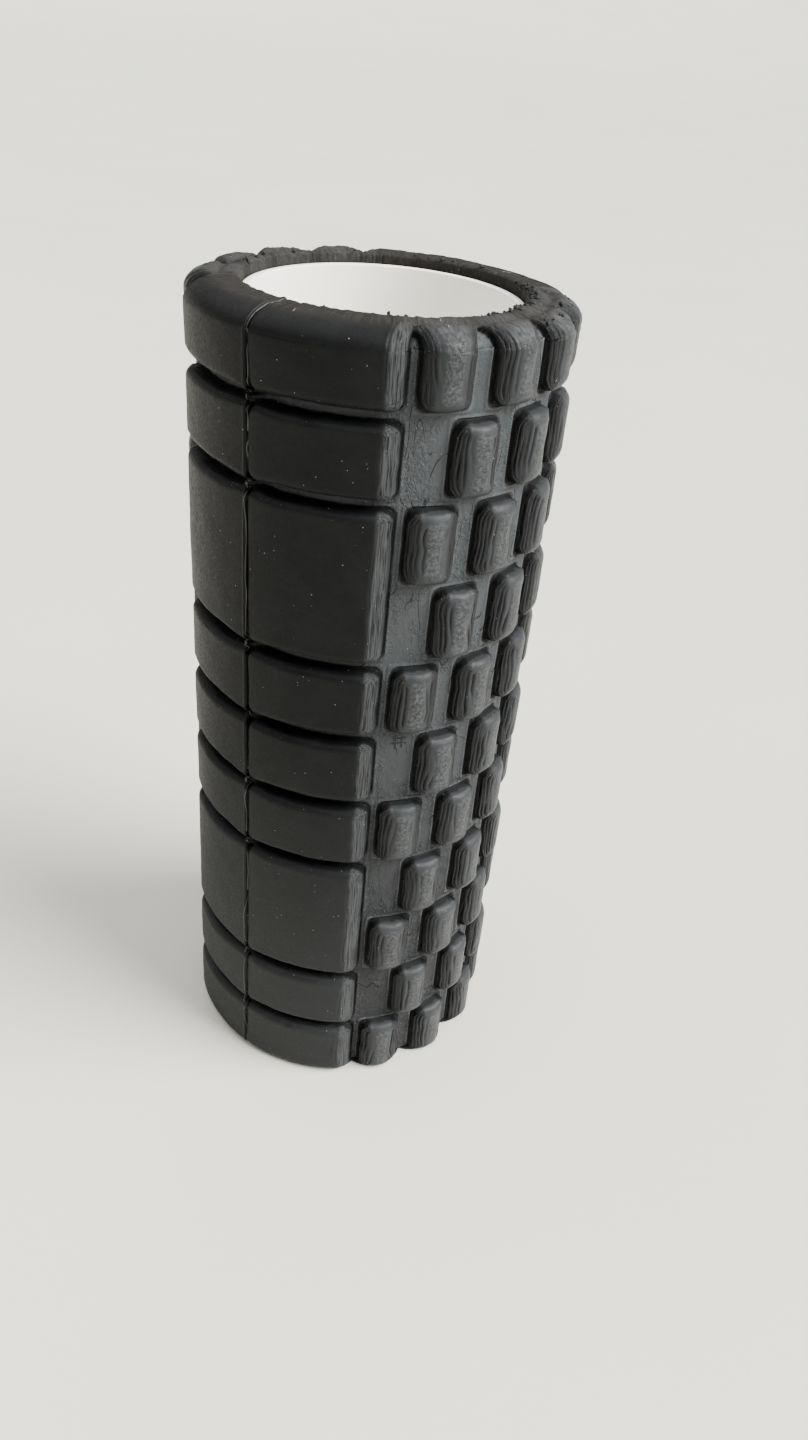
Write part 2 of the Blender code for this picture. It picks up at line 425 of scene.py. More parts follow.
class Band:
    """One row's piece of the sheet: a grid of points with what shapes them."""

    def __init__(self, row):
        self.row = row
        self.u_line = u_lines(row)
        levels = row_levels(row)
        count = len(self.u_line)
        self.u = np.repeat(self.u_line[None, :], len(levels), axis=0)
        self.z, self.stage, self.share = (
            np.repeat(levels[:, i : i + 1], count, axis=1) for i in range(3)
        )
        self.place_blocks()
        self.raise_surface()

    def place_blocks(self):
        shape = self.u.shape
        self.inset = np.full(shape, -FAR)
        self.facing = np.zeros(shape)
        self.kind = np.zeros(shape)
        self.number = np.zeros(shape, np.int64)
        self.from_u, self.from_z = np.zeros(shape), np.zeros(shape)
        shift_u, shift_z = np.zeros(shape), np.zeros(shape)
        for block in row_blocks(self.row):
            du, dz, inset, facing, in_u, in_z = round_corners(self.u, self.z, block)
            near = inset > np.maximum(self.inset, -BAND_EDGE - 1e-6)
            shift_u = np.where(near, du, shift_u)
            shift_z = np.where(near, dz, shift_z)
            closer = inset > self.inset
            self.inset = np.where(closer, inset, self.inset)
            self.facing = np.where(closer, facing, self.facing)
            self.from_u = np.where(closer, in_u, self.from_u)
            self.from_z = np.where(closer, in_z, self.from_z)
            self.kind = np.where(closer, block[4], self.kind)
            self.number = np.where(closer, block[5], self.number)
        self.u = self.u + shift_u
        self.z = np.where(self.stage > 0, self.z, self.z + shift_z)

    def raise_surface(self):
        """The tread's height at each point, and the masks that go with it."""
        small = self.kind > 0.5
        seam = around(self.u, 0)
        over = np.where(self.stage == 1, self.share, (self.stage > 1) * 1.0)
        inset, from_u, from_z = self.worn_outline(small, seam, over)
        reach_z, reach_u = (
            np.where(small, SMALL_REACH[i], WIDE_REACH[i]) for i in range(2)
        )
        rise = block_rise(inset, from_u, from_z, reach_u, reach_z, self.facing)
        reach = reach_z + (reach_u - reach_z) * self.facing
        self.worked_inset = inset
        self.run = side_run(inset, reach)
        self.full = side_run(np.full_like(inset, FAR), reach)
        self.height = rise / DEPTH
        end = pick(small, FLANK_END)
        self.side = (inset > 0) * (1 - smooth(end - 1.8, end, from_u))
        outside = np.maximum(-inset, 0)
        # Painted shade: a dark band in the corner round each block's foot.
        self.foot_shade = bell(outside - 0.1, 0.45) * (inset < 0.5)
        # Painted highlight: a pale line along the lip just outside a small block's foot.
        self.lip = bell(outside - LIP[0], LIP_HIGHLIGHT_WIDTH) * small
        lip = LIP[2] * bell(outside - LIP[0], LIP[1])
        lip = lip - LIP_CREASE[2] * bell(outside - LIP_CREASE[0], LIP_CREASE[1])
        lip = lip * smooth(0.05, -0.1, inset)
        open_floor = 1 - smooth(0.0, 0.9, inset)
        tread = FLOOR + rise + (lip + self.knots(seam)) * open_floor * (1 - over)
        self.shape_end(tread + self.unevenness(over))

    def worn_outline(self, small, seam, over):
        """Distances in from a block's outline and sides, no longer quite true."""
        widen = pick(small, RIM_WIDEN) * over**2
        uneven = 0.25 * noise(self.u / 5, self.z / 5, Seed.OUTLINE)
        uneven = uneven * smooth(-1.2, 0.2, self.inset) * (1 - over)
        # The sheet's edges are glued, which draws the grooves shut at the seam.
        pinch = PINCH * bell(seam + 1.5, PINCH_WIDTH) * (1 - small) * (1 - over)
        corner = pick(seam > 0, SEAM_CORNERS)
        near = np.clip(np.abs(seam), 0, corner)
        cut = corner - np.sqrt(corner**2 - (corner - near) ** 2)
        pinch = pinch - np.where(self.inset > -0.4, cut, 0) * (over < 0.01)
        pinch = pinch * (1 - smooth(2.0, 7.0, self.from_z))
        grooved = self.facing < 0.5
        inset = self.inset + widen + uneven + np.where(grooved, pinch, 0)
        return inset, self.from_u + widen + uneven, self.from_z + uneven + pinch

    def unevenness(self, over):
        """Slow waves, and the sheet is slacker towards the upper end."""
        waves = 0.12 * noise(self.u / 9, self.z / 9, Seed.WAVES)
        waves = waves + 0.06 * rough_noise(self.u / 3, self.z / 3, Seed.RIPPLES)
        flare = FLARE * smooth(0.35 * LENGTH, 0.85 * LENGTH, self.z)
        near_end = smooth(LENGTH - 24, LENGTH - 7, self.z)
        flare = flare + END_FLARE * near_end * self.height
        return waves + (flare + SWELL * self.height) * (1 - over)

    def knots(self, seam):
        """Where the seam crosses a groove, cement and foam gather in a star."""
        low, high = row_span(self.row)
        below, above = low - GROOVE / 2, high + GROOVE / 2
        y = np.where(self.z < (low + high) / 2, self.z - below, self.z - above)
        near_row = np.where(self.z < (low + high) / 2, self.row, self.row + 1)
        turn = np.arctan2(y, seam) + 0.9 * lattice(near_row, near_row, Seed.KNOTS)
        spread = 1.9 + 0.9 * np.cos(3 * turn)
        far = np.hypot(seam, y * 0.8)
        return 0.86 * DEPTH * bell(far, spread + 0.3) + 0.3 * DEPTH * bell(seam, 1.2)

    def shape_end(self, tread):
        """Carries the tread over the rims, the end faces and into the bore."""
        top = self.z > LENGTH / 2
        high, small = self.height, self.kind > 0.5
        # A rim's reach along the axis, and the radius that it runs in to.
        block_rim = np.where(small, SMALL_TOP_RIM[0], TOP_RIM[0])
        block_rim = np.where(top, block_rim, LOW_RIM[0])
        floor_rim = pick(top, FLOOR_RIM)
        reach = floor_rim + (block_rim - floor_rim) * high
        block_in = np.where(small, TIP - SMALL_TOP_RIM[1], TIP - TOP_RIM[1])
        block_in = np.where(top, block_in, TIP - LOW_RIM[1])
        floor_in = pick(top, FLOOR_RIM_RADIUS)
        inner = floor_in + (block_in - floor_in) * high
        sag = 0.6 + 0.6 * noise(self.u / 13, 0 * self.u, Seed.SAG)
        drop = pick(top, FLOOR_DROP) * (1 - high) + pick(top, FACE_SAG) * sag
        turn = self.share * math.pi / 2
        rim_r = inner + (tread - inner) * np.cos(turn)
        rim_d = drop + reach * (1 - np.sin(turn))
        face_r = inner + (BORE + BORE_EASE - inner) * self.share
        dish = pick(top, FACE_DISH) * small * high
        dish = dish * np.sin(math.pi * np.clip(self.share * 1.5, 0, 1)) ** 2
        face_d = drop * (1 - self.share) ** 1.4 + BORE_DROP * self.share**8 + dish
        bore_r = BORE + BORE_EASE * np.exp(-self.share / 0.35)
        bore_d = BORE_DROP + self.share
        stages = [self.stage == 1, self.stage == 2]
        radius = np.select(stages, [rim_r, face_r], bore_r)
        depth = np.select(stages, [rim_d, face_d], bore_d)
        ended = self.stage > 0
        self.radius = np.where(ended, radius, tread)
        self.z = np.where(ended, np.where(top, LENGTH - depth, depth), self.z)
        face = np.where(self.stage == 1, smooth(0.55, 1.0, self.share), 1.0)
        self.rim = np.where(ended, face, 0.0)
        # Relief dies out down the bore.
        self.calm = np.where(self.stage == 3, smooth(4.0, 1.0, self.share), 1.0)

    def end_shift(self):
        """The upper end isn't cut quite square, and its row is a little tall."""
        near = np.cos(SEAM + self.u / FLOOR - ASKEW_AZIMUTH)
        tilt = ASKEW_MEAN + ASKEW_SWING * near
        tilt = tilt * smooth(LENGTH - 24, LENGTH - 2, self.z)
        last_groove = LENGTH - PITCH + 6.2
        return tilt - LAST_GROOVE_DROP * bell(self.z - last_groove, 13)

    def points(self):
        angle = SEAM + self.u / FLOOR
        return np.stack(
            [self.radius * np.cos(angle), self.radius * np.sin(angle), self.z], -1
        )

    def normals(self, points):
        across = np.roll(points, -1, axis=1) - np.roll(points, 1, axis=1)
        along = np.gradient(points, axis=0)
        normal = np.cross(across, along)
        size = np.linalg.norm(normal, axis=-1, keepdims=True)
        return normal / np.maximum(size, 1e-9)

    def relief(self):
        """How far each point stands out along the surface, in millimetres."""
        small = self.kind > 0.5
        near_end = smooth(LENGTH - PITCH, LENGTH - 12, self.z) * small
        folds = self.folds(small, near_end)
        return folds + self.wrinkles(near_end) + self.tears() + self.seam_relief()

    def folds(self, small, near_end):
        """Folds that follow the outline down the blocks' sides."""
        u, z, seed = self.u, self.z, self.number
        sway = 0.65 * noise(u / 7, z / 13, seed) + 0.2 * noise(u / 3, z / 5, seed + 7)
        period, swing, end, fade = (
            pick(small, pair) for pair in (FOLD_PERIOD, FOLD_SWAY, FOLD_END, FOLD_FADE)
        )
        phase = self.run / period + sway * swing
        wave = np.abs(np.sin(math.pi * phase))
        index = np.floor(phase + 0.5)
        depth = 0.6 + 0.7 * noise(index * 3.7 + u / 9, z / 8, seed + Seed.FOLDS)
        last = self.full - end
        window = smooth(0.3, 1.5, self.run) * (1 - smooth(last, last + fade, self.run))
        strength = np.where(
            small,
            0.08 + 0.98 * self.facing**2,
            0.03 + 0.26 * self.facing + 0.32 * (1 - self.facing),
        )
        on_side = (self.worked_inset > 0) * (1 - 0.6 * self.rim) * (1 - 0.45 * near_end)
        # Painted shade: the creases between the folds are darkened almost to black in the
        # colour.
        thin = 1 - smooth(0.0, 0.62, wave)
        crease_shade = np.where(small, 0.25 + 0.75 * self.facing, 0.5)
        self.crease_shade = thin * np.clip(depth, 0, 1) * window * on_side * crease_shade
        return (wave**0.5 - 1) * np.clip(depth, 0, 2) * window * strength * on_side

    def wrinkles(self, near_end):
        """Cross wrinkles over the end row's small blocks."""
        u, z = self.u, self.z
        phase = z / 2.1 + 0.9 * noise(u / 3, z / 5, Seed.WRINKLES)
        cross = (np.abs(np.sin(math.pi * phase)) ** 0.6 - 1) * 0.42 * near_end
        deep = 0.5 + 0.5 * noise(u / 4, z / 3, Seed.WRINKLE_DEPTH)
        return cross * deep * self.height

    def tears(self):
        """Lumps and tearing over the cut end face."""
        u, radius = self.u, self.radius
        lumps = 0.34 * rough_noise(u / 2.4, radius / 2.4, Seed.LUMPS)
        return (lumps + 0.24 * noise(u, radius / 1.2, Seed.TORN)) * self.rim

    def seam_relief(self):
        """The butt seam: a notch with a proud left lip and a rounded right."""
        s = around(self.u, 0)
        uneven = 0.9 + 0.15 * noise(0 * self.z, self.z / 7, Seed.SEAM)
        notch = -(0.6 + 0.7 * self.height) * bell(s, 0.34)
        lip = 0.42 * bell(s + 0.85, 0.34)
        right = -0.85 * np.exp(-np.maximum(s, 0) / 0.9) * (s > 0)
        left = -0.10 * np.exp(np.minimum(s, 0) / 0.5) * (s <= 0)
        return (notch + lip + right + left) * uneven * (np.abs(s) < 6)

    def seam_shift(self):
        """The seam isn't quite straight, and is pulled over at each groove."""
        s = around(self.u, 0)
        sway = 0.8 * noise(0 * self.z, self.z / 26, Seed.SWAY)
        sway = sway + 0.45 * noise(0 * self.z, self.z / 9, Seed.JOG)
        # The small blocks lean over slightly towards the top.
        lean = 1.3 * smooth(0.45 * LENGTH, LENGTH, self.z)
        zone = 1 - bell(s, 44.0) - bell(around(self.u, ROUND / 2), 44.0)
        return sway * bell(s, 9.0) + lean * smooth(0.2, 0.9, zone)

    def layers(self):
        """What the foam's material reads at each point."""
        sheet = np.stack([self.u, self.z, self.run], -1) * SHEET_UNIT
        return {
            "sheet": sheet.reshape(-1, 3),
            "tread": self.height.ravel(),
            "small": (self.kind * (self.inset > -0.1)).ravel(),
            "side": self.side.ravel(),
            "rim": self.rim.ravel(),
            "foot_shade": self.foot_shade.ravel(),
            "lip": self.lip.ravel(),
            "crease_shade": self.crease_shade.ravel(),
        }


def build_bands():
    """Every row's band, with its finished points and their normals."""
    bands = []
    for row in range(ROWS):
        band = Band(row)
        band.u = band.u + band.seam_shift()
        band.z = band.z + band.end_shift()
        points = band.points()
        out = band.relief()
        points = points + band.normals(points) * (out * band.calm)[..., None]
        points[..., 2] = np.maximum(points[..., 2], 0)
        band.at, band.out = points, band.normals(points)
        bands.append(band)
    return bands


# --- Putting the sleeve together ---


def ring_faces(low, high, low_u, high_u):
    """Triangles between two closed rings of vertex numbers, by their u."""
    faces = []
    i = j = 0
    n, m = len(low), len(high)
    while i < n or j < m:
        next_low = low_u[i + 1] if i + 1 < n else ROUND + (low_u[0] if i < n else 9e9)
        next_high = high_u[j + 1] if j + 1 < m else ROUND + (high_u[0] if j < m else 9e9)
        if i < n and (j >= m or next_low <= next_high):
            faces.append((low[i], low[(i + 1) % n], high[j % m]))
            i += 1
        else:
            faces.append((low[i % n], high[(j + 1) % m], high[j]))
            j += 1
    return faces


def grid_faces(start, rows, columns):
    index = start + np.arange(rows * columns).reshape(rows, columns)
    right = np.roll(index, -1, axis=1)
    quads = np.stack([index[:-1], right[:-1], right[1:], index[1:]], -1)
    return quads.reshape(-1, 4)


def mesh_from(name, vertices, quads, triangles, attributes=None):
    mesh = bpy.data.meshes.new(name)
    quads = np.asarray(quads, np.int64).reshape(-1, 4)
    triangles = np.asarray(triangles, np.int64).reshape(-1, 3)
    loops = np.concatenate([quads.ravel(), triangles.ravel()])
    totals = np.concatenate([np.full(len(quads), 4), np.full(len(triangles), 3)])
    starts = np.concatenate([[0], np.cumsum(totals)[:-1]])
    mesh.vertices.add(len(vertices))
    mesh.vertices.foreach_set("co", (np.asarray(vertices) * MM).astype("f").ravel())
    mesh.loops.add(len(loops))
    mesh.loops.foreach_set("vertex_index", loops.astype(np.int32))
    mesh.polygons.add(len(totals))
    mesh.polygons.foreach_set("loop_start", starts.astype(np.int32))
    mesh.polygons.foreach_set("use_smooth", np.ones(len(totals), bool))
    mesh.update(calc_edges=True)
    for key, values in (attributes or {}).items():
        values = np.asarray(values, "f")
        kind, field = ("FLOAT", "value") if values.ndim == 1 else ("FLOAT_VECTOR", "vector")
        layer = mesh.attributes.new(key, kind, "POINT")
        layer.data.foreach_set(field, values.ravel())
    return mesh


def add_piece(name, mesh, material, node):
    obj = bpy.data.objects.new(name, mesh)
    bpy.context.scene.collection.objects.link(obj)
    mesh.materials.append(material)
    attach(obj, "root")
    if node:
        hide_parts(node)
    return obj


def build_sleeve(material, bands):
    """One closed mesh: the rows' grids, and triangles between their rings."""
    vertices, quads, triangles, layers, rings = [], [], [], [], []
    start = 0
    for band in bands:
        rows, columns = band.u.shape
        vertices.append(band.at.reshape(-1, 3))
        quads.append(grid_faces(start, rows, columns))
        layers.append(band.layers())
        low = start + np.arange(columns)
        rings.append((low, low + (rows - 1) * columns, band.u_line))
        start += rows * columns
    for below, above in zip(rings, rings[1:] + rings[:1]):
        triangles += ring_faces(below[1], above[0], below[2], above[2])
    mesh = mesh_from(
        "foam_sheet",
        np.concatenate(vertices),
        np.concatenate(quads),
        triangles,
        {key: np.concatenate([each[key] for each in layers]) for key in layers[0]},
    )
    sleeve = add_piece("foam_sheet", mesh, material, "foam_sleeve")
    return sleeve


# --- Node helpers ---


class Nodes:
    """A small helper that adds and links shader nodes."""

    def __init__(self, name):
        self.material = bpy.data.materials.new(name)
        self.material.use_nodes = True
        self.tree = self.material.node_tree
        self.shader = self.tree.nodes["Principled BSDF"]

    def add(self, kind, inputs=None, **settings):
        node = self.tree.nodes.new(kind)
        for key, value in settings.items():
            setattr(node, key, value)
        for key, value in (inputs or {}).items():
            self.put(node.inputs[key], value)
        return node

    def put(self, socket, value):
        if isinstance(value, bpy.types.NodeSocket):
            self.tree.links.new(value, socket)
        else:
            socket.default_value = value

    def attribute(self, name, output="Fac"):
        node = self.add("ShaderNodeAttribute", attribute_name=name)
        return node.outputs[output]

    def math(self, operation, a, b=0.0):
        return self.add("ShaderNodeMath", {0: a, 1: b}, operation=operation).outputs[0]

    def times(self, first, *others):
        """The product of several values."""
        for other in others:
            first = self.math("MULTIPLY", first, other)
        return first

    def ramp(self, value, low, high, out_low=0.0, out_high=1.0):
        inputs = {
            "Value": value,
            "From Min": low,
            "From Max": high,
            "To Min": out_low,
            "To Max": out_high,
        }
        kind = "ShaderNodeMapRange"
        return self.add(kind, inputs, interpolation_type="SMOOTHSTEP").outputs[0]

    def object_place(self):
        return self.add("ShaderNodeTexCoord").outputs["Object"]

    def scaled(self, vector, scale):
        inputs = {"Vector": vector, "Scale": scale}
        return self.add("ShaderNodeMapping", inputs, vector_type="POINT").outputs[0]

    def noise(self, vector, scale, detail=2.0, roughness=0.5, distortion=0.0):
        inputs = {
            "Vector": vector,
            "Scale": scale,
            "Detail": detail,
            "Roughness": roughness,
            "Distortion": distortion,
        }
        return self.add("ShaderNodeTexNoise", inputs).outputs[0]

    def folded(self, value, width=0.055):
        """A noise made into thin creases: 1 along its middle value, else 0."""
        away = self.math("ABSOLUTE", self.math("SUBTRACT", value, 0.5))
        return self.ramp(away, 0.0, width, 1.0, 0.0)

    def mix(self, factor, a, b):
        inputs = {0: factor, 6: a, 7: b}
        return self.add("ShaderNodeMix", inputs, data_type="RGBA").outputs[2]

    def bump(self, height, distance, normal=None):
        inputs = {"Height": height, "Distance": distance}
        if normal is not None:
            inputs["Normal"] = normal
        return self.add("ShaderNodeBump", inputs).outputs[0]

    def finish(self, colour, roughness, normal):
        """The material, with its colour, roughness and normal linked up."""
        for key, value in (
            ("Base Color", colour),
            ("Roughness", roughness),
            ("Normal", normal),
        ):
            self.put(self.shader.inputs[key], value)
        return self.material


def grey(value, warm=0.0):
    return (value * (1 + warm), value, value * (1 - warm), 1.0)


# --- Materials ---


# A nick of four crossing strokes: centre and half lengths, in sheet coordinates.
NICK_ROW = 5
NICK_STROKES = (
    (-0.012, 0.0, 0.0, 0.030),
    (0.012, -0.004, 0.0, 0.024),
    (0.0, -0.010, 0.028, 0.0),
    (0.004, 0.012, 0.022, 0.0),
)
NICK_SOFT = 0.004
NICK_BEND = 0.012


def nick(n, sheet):
    """Four short crossing strokes in the floor beside the wide column."""
    wander = n.add("ShaderNodeTexNoise", {"Vector": sheet, "Scale": 25.0}).outputs[1]
    bent = n.add("ShaderNodeVectorMath", operation="MULTIPLY_ADD")
    n.put(bent.inputs[0], wander)
    bent.inputs[1].default_value = (NICK_BEND, NICK_BEND, 0.0)
    n.put(bent.inputs[2], sheet)
    place = n.add("ShaderNodeSeparateXYZ", {"Vector": bent.outputs[0]})
    # The noise that bends the strokes also moves them by half its size.
    at_u = (WIDE / 2 + 9.0) * SHEET_UNIT + NICK_BEND / 2
    at_z = (row_span(NICK_ROW)[1] - 2.0) * SHEET_UNIT + NICK_BEND / 2
    total = None
    for du, dz, half_u, half_z in NICK_STROKES:
        far_u = n.math("ABSOLUTE", n.math("SUBTRACT", place.outputs[0], at_u + du))
        far_z = n.math("ABSOLUTE", n.math("SUBTRACT", place.outputs[1], at_z + dz))
        stroke = n.times(
            n.ramp(far_u, half_u, half_u + NICK_SOFT, 1.0, 0.0),
            n.ramp(far_z, half_z, half_z + NICK_SOFT, 1.0, 0.0),
        )
        total = stroke if total is None else n.math("MAXIMUM", total, stroke)
    return total


class Foam:
    """What the foam's colour, normal and roughness share."""

    def __init__(self, n):
        self.sheet = n.attribute("sheet", "Vector")
        self.height = n.add("ShaderNodeSeparateXYZ", {"Vector": self.sheet}).outputs[1]
        self.tread, self.small = n.attribute("tread"), n.attribute("small")
        self.side, self.rim = n.attribute("side"), n.attribute("rim")
        self.foot_shade, self.lip = n.attribute("foot_shade"), n.attribute("lip")
        self.crease_shade = n.attribute("crease_shade")
        self.face = n.ramp(self.tread, 0.90, 1.0)
        self.floor = n.ramp(self.tread, 0.06, 0.0)
        self.grain = n.noise(self.sheet, 80.0, 4.0, 0.6)
        # Fine wrinkles along the axis, on the sides that face round the roller.
        along = n.scaled(self.sheet, (170.0, 8.0, 170.0))
        self.lines = n.noise(along, 1.0, 2.0, 0.55, 0.35)
        # Leathery patches on the groove floor.
        self.leather = n.noise(
            n.scaled(self.sheet, (62.0, 48.0, 0.0)), 1.0, 3.0, 0.6, 1.0
        )
        patch = n.ramp(n.noise(self.sheet, 5.0, 2.0), 0.40, 0.60, 0.25, 1.0)
        self.leathery = n.times(self.floor, patch)
        self.rift = self.rifts(n)

    def rifts(self, n):
        """A few long upright cracks in the groove floor, and the nick."""
        wander = n.scaled(self.sheet, (20.0, 4.0, 0.0))
        rift = n.folded(n.noise(wander, 1.0, 0.0, 0.5, 0.2), 0.012)
        rift = n.times(rift, n.ramp(n.noise(self.sheet, 7.0, 1.0), 0.48, 0.56))
        return n.times(n.math("MAXIMUM", rift, nick(n, self.sheet)), self.floor)


def foam_normal(n, foam):
    sheet = foam.sheet
    shoulder = n.times(foam.side, n.ramp(foam.tread, 0.05, 0.5))
    # Fine wrinkles over the small blocks' faces, upright and level.
    upright = n.noise(n.scaled(sheet, (150.0, 34.0, 0.0)), 1.0, 2.0, 0.6, 0.6)
    level = n.noise(n.scaled(sheet, (40.0, 130.0, 0.0)), 1.0, 2.0, 0.6, 0.8)
    craze = n.math("ADD", n.folded(upright), n.times(n.folded(level), 0.8))
    patch = n.ramp(n.noise(sheet, 14.0, 2.0), 0.34, 0.60, 0.25, 1.0)
    torn = n.noise(sheet, 120.0, 4.0, 0.7)
    fine = n.noise(sheet, 210.0, 3.0, 0.6)
    normal = n.bump(n.times(foam.lines, shoulder), 0.0006)
    normal = n.bump(n.times(craze, foam.small, foam.face, patch), -0.00012, normal)
    normal = n.bump(n.times(foam.leather, foam.leathery), 0.0013, normal)
    normal = n.bump(foam.rift, -0.0005, normal)
    normal = n.bump(n.times(torn, foam.rim), 0.0005, normal)
    normal = n.bump(foam.grain, 0.00009, normal)
    return n.bump(fine, 0.00003, normal)


def dust_specks(n, sheet):
    """Specks of dust and pale pinholes: a few cells each hold one."""
    cells = n.add("ShaderNodeTexVoronoi", {"Vector": sheet, "Scale": 55.0}, feature="F1")
    drawn = n.add("ShaderNodeSeparateColor", {"Color": cells.outputs["Color"]})
    size = n.ramp(drawn.outputs[0], 0.60, 1.0, 0.0, 0.085)
    return n.math("LESS_THAN", cells.outputs["Distance"], size)


def foam_colour(n, foam):
    """Near black skin, paler where it's stretched, handled or dusty, with painted light low
    down and along shoulders and lips, and painted shade on flanks, feet and creases.
    """
    broad = n.noise(foam.sheet, 9.0, 3.0, 0.55)
    # Painted light: paler low down, standing in for light thrown up from the table.
    low_bounce_light = n.ramp(foam.height, 0.2, 1.9, 0.8, 0.0)
    floor = n.mix(
        n.ramp(foam.height, 0.4, 2.6), grey(0.021, -0.06), grey(0.052, -0.08)
    )
    mottle = n.ramp(foam.leather, 0.45, 0.65)
    scuff = n.ramp(foam.grain, 0.35, 0.7)
    # Painted highlight: paler streaks along the shoulders' fine lines, mostly on the wide
    # blocks, stand in for their sheen.
    shoulder_sheen = n.times(n.ramp(foam.tread, 0.25, 0.6), n.ramp(foam.lines, 0.28, 0.60))
    shoulder_sheen = n.times(shoulder_sheen, n.ramp(foam.small, 0.0, 1.0, 1.0, 0.12))
    torn = n.ramp(foam.grain, 0.3, 0.7, 0.3, 0.8)
    colour = n.mix(n.ramp(broad, 0.35, 0.7), grey(0.0032, -0.10), grey(0.0052, -0.10))
    for amount, tone in (
        # Painted light: paler low down.
        (low_bounce_light, grey(0.021, -0.06)),
        (n.times(foam.small, 0.8), grey(0.032, -0.08)),
        (n.times(foam.floor, 0.85), floor),
        (n.times(foam.leathery, mottle, 0.4), grey(0.055, -0.06)),
        (n.times(foam.rift, 0.55), grey(0.005)),
        (n.times(foam.small, foam.face, scuff, 0.55), grey(0.095, -0.04)),
        # Painted highlight along the small blocks' lips.
        (n.times(foam.lip, n.ramp(broad, 0.35, 0.6, 0.2, 0.8)), grey(0.085, -0.06)),
        # Painted shade: the small blocks' flanks are darkened, on both sides.
        (n.times(foam.side, foam.small, 0.7), grey(0.007, -0.06)),
        # Painted highlight on the shoulders.
        (n.times(foam.side, shoulder_sheen, 0.65), grey(0.058, -0.06)),
        # Painted shade at the blocks' feet.
        (n.times(foam.foot_shade, 0.7), grey(0.002)),
        # Painted shade in the folds' creases.
        (n.times(foam.crease_shade, 0.97), grey(0.0006)),
        (n.times(foam.rim, torn), grey(0.024, 0.10)),
        (n.times(dust_specks(n, foam.sheet), 0.7), grey(0.34)),
    ):
        colour = n.mix(amount, colour, tone)
    return colour


def foam_roughness(n, foam):
    rough = n.ramp(foam.grain, 0.3, 0.75, 0.46, 0.60)
    rough = n.math("SUBTRACT", rough, n.times(foam.small, 0.10))
    for mask, more in ((foam.rim, 0.2), (foam.foot_shade, 0.2), (foam.crease_shade, 0.3)):
        rough = n.math("ADD", rough, n.times(mask, more))
    return rough


def foam_material():
    n = Nodes("foam_skin")
    foam = Foam(n)
    n.shader.inputs["Specular IOR Level"].default_value = 0.10
    return n.finish(foam_colour(n, foam), foam_roughness(n, foam), foam_normal(n, foam))


def tube_material():
    n = Nodes("tube_plastic")
    place = n.object_place()
    drawn = n.noise(n.scaled(place, (260.0, 260.0, 6.0)), 1.0, 3.0, 0.5)
    cloud = n.ramp(n.noise(place, 22.0, 2.0), 0.3, 0.7)
    colour = n.mix(cloud, (0.95, 0.93, 0.86, 1), (0.96, 0.95, 0.90, 1))
    n.shader.inputs["Subsurface Weight"].default_value = 0.05
    n.shader.inputs["Subsurface Radius"].default_value = (0.004, 0.003, 0.002)
    rough = n.ramp(drawn, 0.3, 0.7, 0.34, 0.48)
    return n.finish(colour, rough, n.bump(drawn, 0.00008))


def blotchy_material(name, scale, tones, rough, depth):
    """Dried cement: one fine noise blots its colour, roughness and surface."""
    n = Nodes(name)
    blot = n.noise(n.object_place(), scale, 3.0, 0.6)
    colour = n.mix(n.ramp(blot, 0.3, 0.7), *tones)
    return n.finish(colour, n.ramp(blot, 0.3, 0.7, *rough), n.bump(blot, depth))


def cement_material():
    tones = (0.30, 0.17, 0.05, 1), (0.16, 0.09, 0.03, 1)
    return blotchy_material("dried_cement", 300.0, tones, (0.28, 0.5), 0.0001)


def bead_material():
    tones = grey(0.010), grey(0.016)
    return blotchy_material("seam_cement", 700.0, tones, (0.40, 0.55), 0.00004)


def table_material():
    n = Nodes("pale_table")
    place = n.object_place()
    cloud = n.ramp(n.noise(place, 3.0, 2.0), 0.3, 0.7)
    grain = n.noise(place, 900.0, 2.0)
    colour = n.mix(cloud, (0.605, 0.600, 0.545, 1), (0.630, 0.625, 0.570, 1))
    rough = n.ramp(grain, 0.3, 0.7, 0.42, 0.5)
    return n.finish(colour, rough, n.bump(grain, 0.00002))


# --- Tube, film and bead ---


def lathe_mesh(name, outline, segments):
    """A closed (radius, z) outline turned once round the axis."""
    angle = np.linspace(0, 2 * math.pi, segments, endpoint=False)
    outline = np.asarray(outline)
    radius, z = outline[:, 0][:, None], outline[:, 1][:, None]
    points = np.stack(
        [radius * np.cos(angle), radius * np.sin(angle), z + 0 * angle], -1
    )
    rows, columns = points.shape[:2]
    index = np.arange(rows * columns).reshape(rows, columns)
    right, up = np.roll(index, -1, axis=1), np.roll(index, -1, axis=0)
    both = np.roll(right, -1, axis=0)
    quads = np.stack([index, right, both, up], -1).reshape(-1, 4)
    return mesh_from(name, points.reshape(-1, 3), quads, [])


TUBE_EASE = 0.55
TUBE_CORNER = ((TUBE_EASE, 0.0), (0.25, 0.06), (0.08, 0.22), (0.0, TUBE_EASE))
TUBE_STEPS = 30
SEGMENTS = 240
FILM_THICK = 0.3

# The bead of cement in the seam: half width and height, by how much they vary,
# and how much more there is in the grooves, which lie this far under the tips.
BEAD_HALF = (0.20, 0.03, 0.12)
BEAD_TALL = (0.34, 0.08, 0.30)
BEAD_GROOVE = 2.52
BEAD_SIDES = 10


